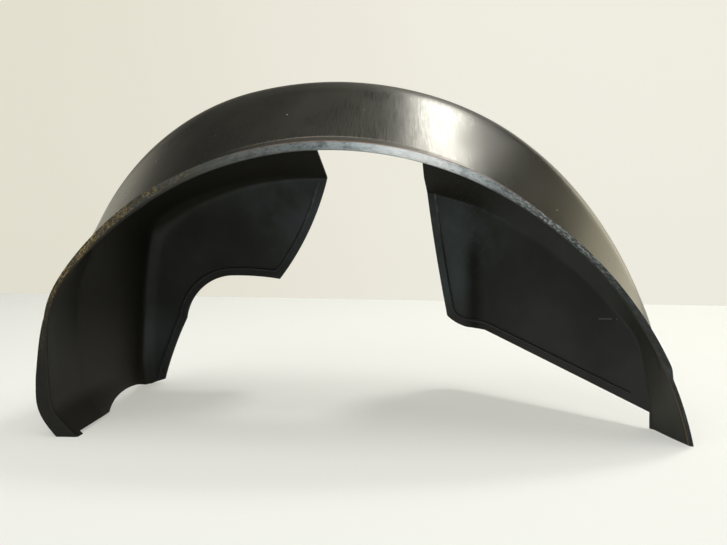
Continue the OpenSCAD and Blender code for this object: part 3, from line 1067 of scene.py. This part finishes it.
paths = []
for edge, top in zip((left_edge, right_edge), RIB_TOPS):
    path = [p for p in inset(edge, RIB_INSET) if p.y < top]
    paths.append([p if p.x < RIB_END else foot_end(p) for p in path])
route = bpy.data.meshes.new("rib route")
corners = [(p.x, 0, p.y) for path in paths for p in path]
links = [(i, i + 1) for i in range(len(corners) - 1) if i != len(paths[0]) - 1]
route.from_pydata(corners, links, [])
print("rib paths of", [len(path) for path in paths], "points")

# %% Rib swept along its path
RIB_SIZES = {key: SIZES[key] for key in ("Rim Radius", "Wall Depth", "Slant Start",
                                         "Foot Depth")}
RIB_SIZES["Rib Radius"] = 1.3
RIB_STEP, RIB_FACETS, RIB_SHARP = 6.0, 12, 50
RIB_MAP_SPOT = (0.3, 0.3, 0.0)
net, size = tree_with_inputs("rib", RIB_SIZES, takes_geometry=True)
path = net.node("GeometryNodeMeshToCurve", values=[size["Geometry"]])
path = net.node("GeometryNodeResampleCurve", {"mode": "LENGTH"},
                {"Curve": path, "Length": RIB_STEP})
x, _, z = parts_of(net, net.node("GeometryNodeInputPosition"))
path = net.node("GeometryNodeSetPosition",
                values={"Geometry": path, "Position": joined(net, x, wall_depth(size, x), z)})
circle = net.node("GeometryNodeCurvePrimitiveCircle", {"mode": "RADIUS"},
                  {"Resolution": RIB_FACETS, "Radius": size["Rib Radius"]})
rib = net.node("GeometryNodeCurveToMesh",
               values={"Curve": path, "Profile Curve": circle, "Fill Caps": True})
rib = in_metres(net, rib)
rib = net.node("GeometryNodeStoreNamedAttribute",
               {"data_type": "FLOAT2", "domain": "CORNER"},
               {"Geometry": rib, "Name": MAP_NAME, "Value": RIB_MAP_SPOT})
rib = net.node("GeometryNodeRealizeInstances", values=[rib])
rib = net.node("GeometryNodeSetMaterial", values={"Geometry": rib, "Material": size["Skin"]})
net.tree.links.new(rib.socket, net.tree.nodes.new("NodeGroupOutput").inputs[0])

ribs = run_tree(new_object("edge_rib", route), net.tree, {**RIB_SIZES, "Skin": RIB_SKIN})
smooth_below(ribs, RIB_SHARP)
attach(ribs, "root")
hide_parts("liner")
print("rib of", len(ribs.data.polygons), "faces")

# %% [markdown]
# ## Floor and backdrop
# The liner stands on a white table before a pale curtain. Two flat sheets do the same. The
# camera and the reflections see a share of each sheet at its own flat colour, so a shadow
# on the table stays as soft and pale as it would be in a bright room. The curtain is darker
# towards the left, with soft folds, both painted shade.

# %% Floor and backdrop
TABLE = [(-2.9, -2.5, 0), (2.5, -2.5, 0), (2.5, 0.336, 0), (-2.9, 1.334, 0)]
CURTAIN = [(-4, 1.6, -1.5), (4, 1.6, -1.5), (4, 1.6, 1.4), (-4, 1.6, 1.4)]
TABLE_WHITE, CURTAIN_PALE, CURTAIN_SHADED_LEFT = ((0.855, 0.858, 0.80), (0.89, 0.87, 0.775),
                                           (0.81, 0.78, 0.665))


def plain_material(name, colour, share, shaded_left_colour=None):
    """A matt material, of which the camera and reflections see a share at its flat colour."""
    material, net = blank(name)
    camera_ray = net.node("ShaderNodeLightPath", out="Is Camera Ray")
    glossy_ray = net.node("ShaderNodeLightPath", out="Is Glossy Ray")
    colour = (*colour, 1)
    if shaded_left_colour:
        x, _, z = parts_of(net, net.node("ShaderNodeTexCoord", out="Object"))
        fold_shade = noise(net, joined(net, x * 2.6 + z * 0.7, z * 0.8), detail=2.0) - 0.5
        # On the curtain, painted shade darkens the left and lays soft painted folds.
        colour = mixed(net, between(x, -1.1, 0.2) + fold_shade * 0.45, (*shaded_left_colour, 1), colour)
    matt = net.node("ShaderNodeBsdfDiffuse", values={"Color": colour})
    flat = net.node("ShaderNodeEmission", values={"Color": colour})
    seen = net.node("ShaderNodeMixShader", values=[(camera_ray + glossy_ray) * share,
                                                   matt, flat])
    net.tree.links.new(seen.socket, net.tree.nodes.new("ShaderNodeOutputMaterial").inputs[0])
    return material


def flat_sheet(name, corners, material):
    """A flat sheet of the set through the corners."""
    mesh = bpy.data.meshes.new(name)
    mesh.from_pydata(corners, [], [tuple(range(len(corners)))])
    mesh.materials.append(material)
    new_object(name, mesh)
    print(repr(name), "of", len(corners), "corners")


flat_sheet("floor", TABLE, plain_material("table", TABLE_WHITE, 0.45))
flat_sheet("backdrop", CURTAIN, plain_material("curtain", CURTAIN_PALE, 0.9, CURTAIN_SHADED_LEFT))

# %% [markdown]
# ## Lights
# The overhead softbox is small and stands a little behind the arch. It gives the lamp's
# reflection on the band, and its size sets how wide that is. A large one on top, a fill from
# the front and a warm panel on the right open the shadows. The world adds a little light
# from all sides, and the camera sees it pale.

# %% Lights
WORLD_LIGHT, WORLD_SEEN = ((1, 1, 0.97, 1), 0.115), ((0.84, 0.82, 0.74, 1), 1.0)
WHITE, WARM = (1, 1, 1), (1, 0.93, 0.73)
world = bpy.data.worlds.new("studio")
net = emptied(world)
dim, pale = (net.node("ShaderNodeBackground", values=list(values))
             for values in (WORLD_LIGHT, WORLD_SEEN))
seen = net.node("ShaderNodeMixShader",
                values=[net.node("ShaderNodeLightPath", out="Is Camera Ray"), dim, pale])
net.tree.links.new(seen.socket, net.tree.nodes.new("ShaderNodeOutputWorld").inputs[0])
bpy.context.scene.world = world


def softbox(name, at, aim, sides, power, colour=WHITE):
    """A flat rectangular light at a place, turned to the point that it aims at."""
    data = bpy.data.lights.new(name, "AREA")
    data.shape = "RECTANGLE"
    data.size, data.size_y = sides
    data.energy, data.color = power, colour
    made = bpy.data.objects.new(name, data)
    made.location = at
    made.rotation_euler = (Vector(aim) - Vector(at)).to_track_quat("-Z", "Y").to_euler()
    bpy.context.scene.collection.objects.link(made)
    print("light", repr(name), "of", power, "W")


softbox("overhead", at=(0.455, 0.575, 1.60), aim=(0.09, -0.06, 0.33), sides=(0.36, 0.28),
        power=10.2)
softbox("top", at=(0.1, -0.3, 2.2), aim=(0.05, 0, 0), sides=(2.8, 1.4), power=33)
softbox("front fill", at=(-0.2, -1.9, 1.9), aim=(0, 0, 0), sides=(2.4, 1.2), power=17)
softbox("right panel", at=(1.6, 1.03, 0.79), aim=(0.25, -0.05, 0.25), sides=(1.4, 1.0),
        power=10, colour=WARM)

# %% [markdown]
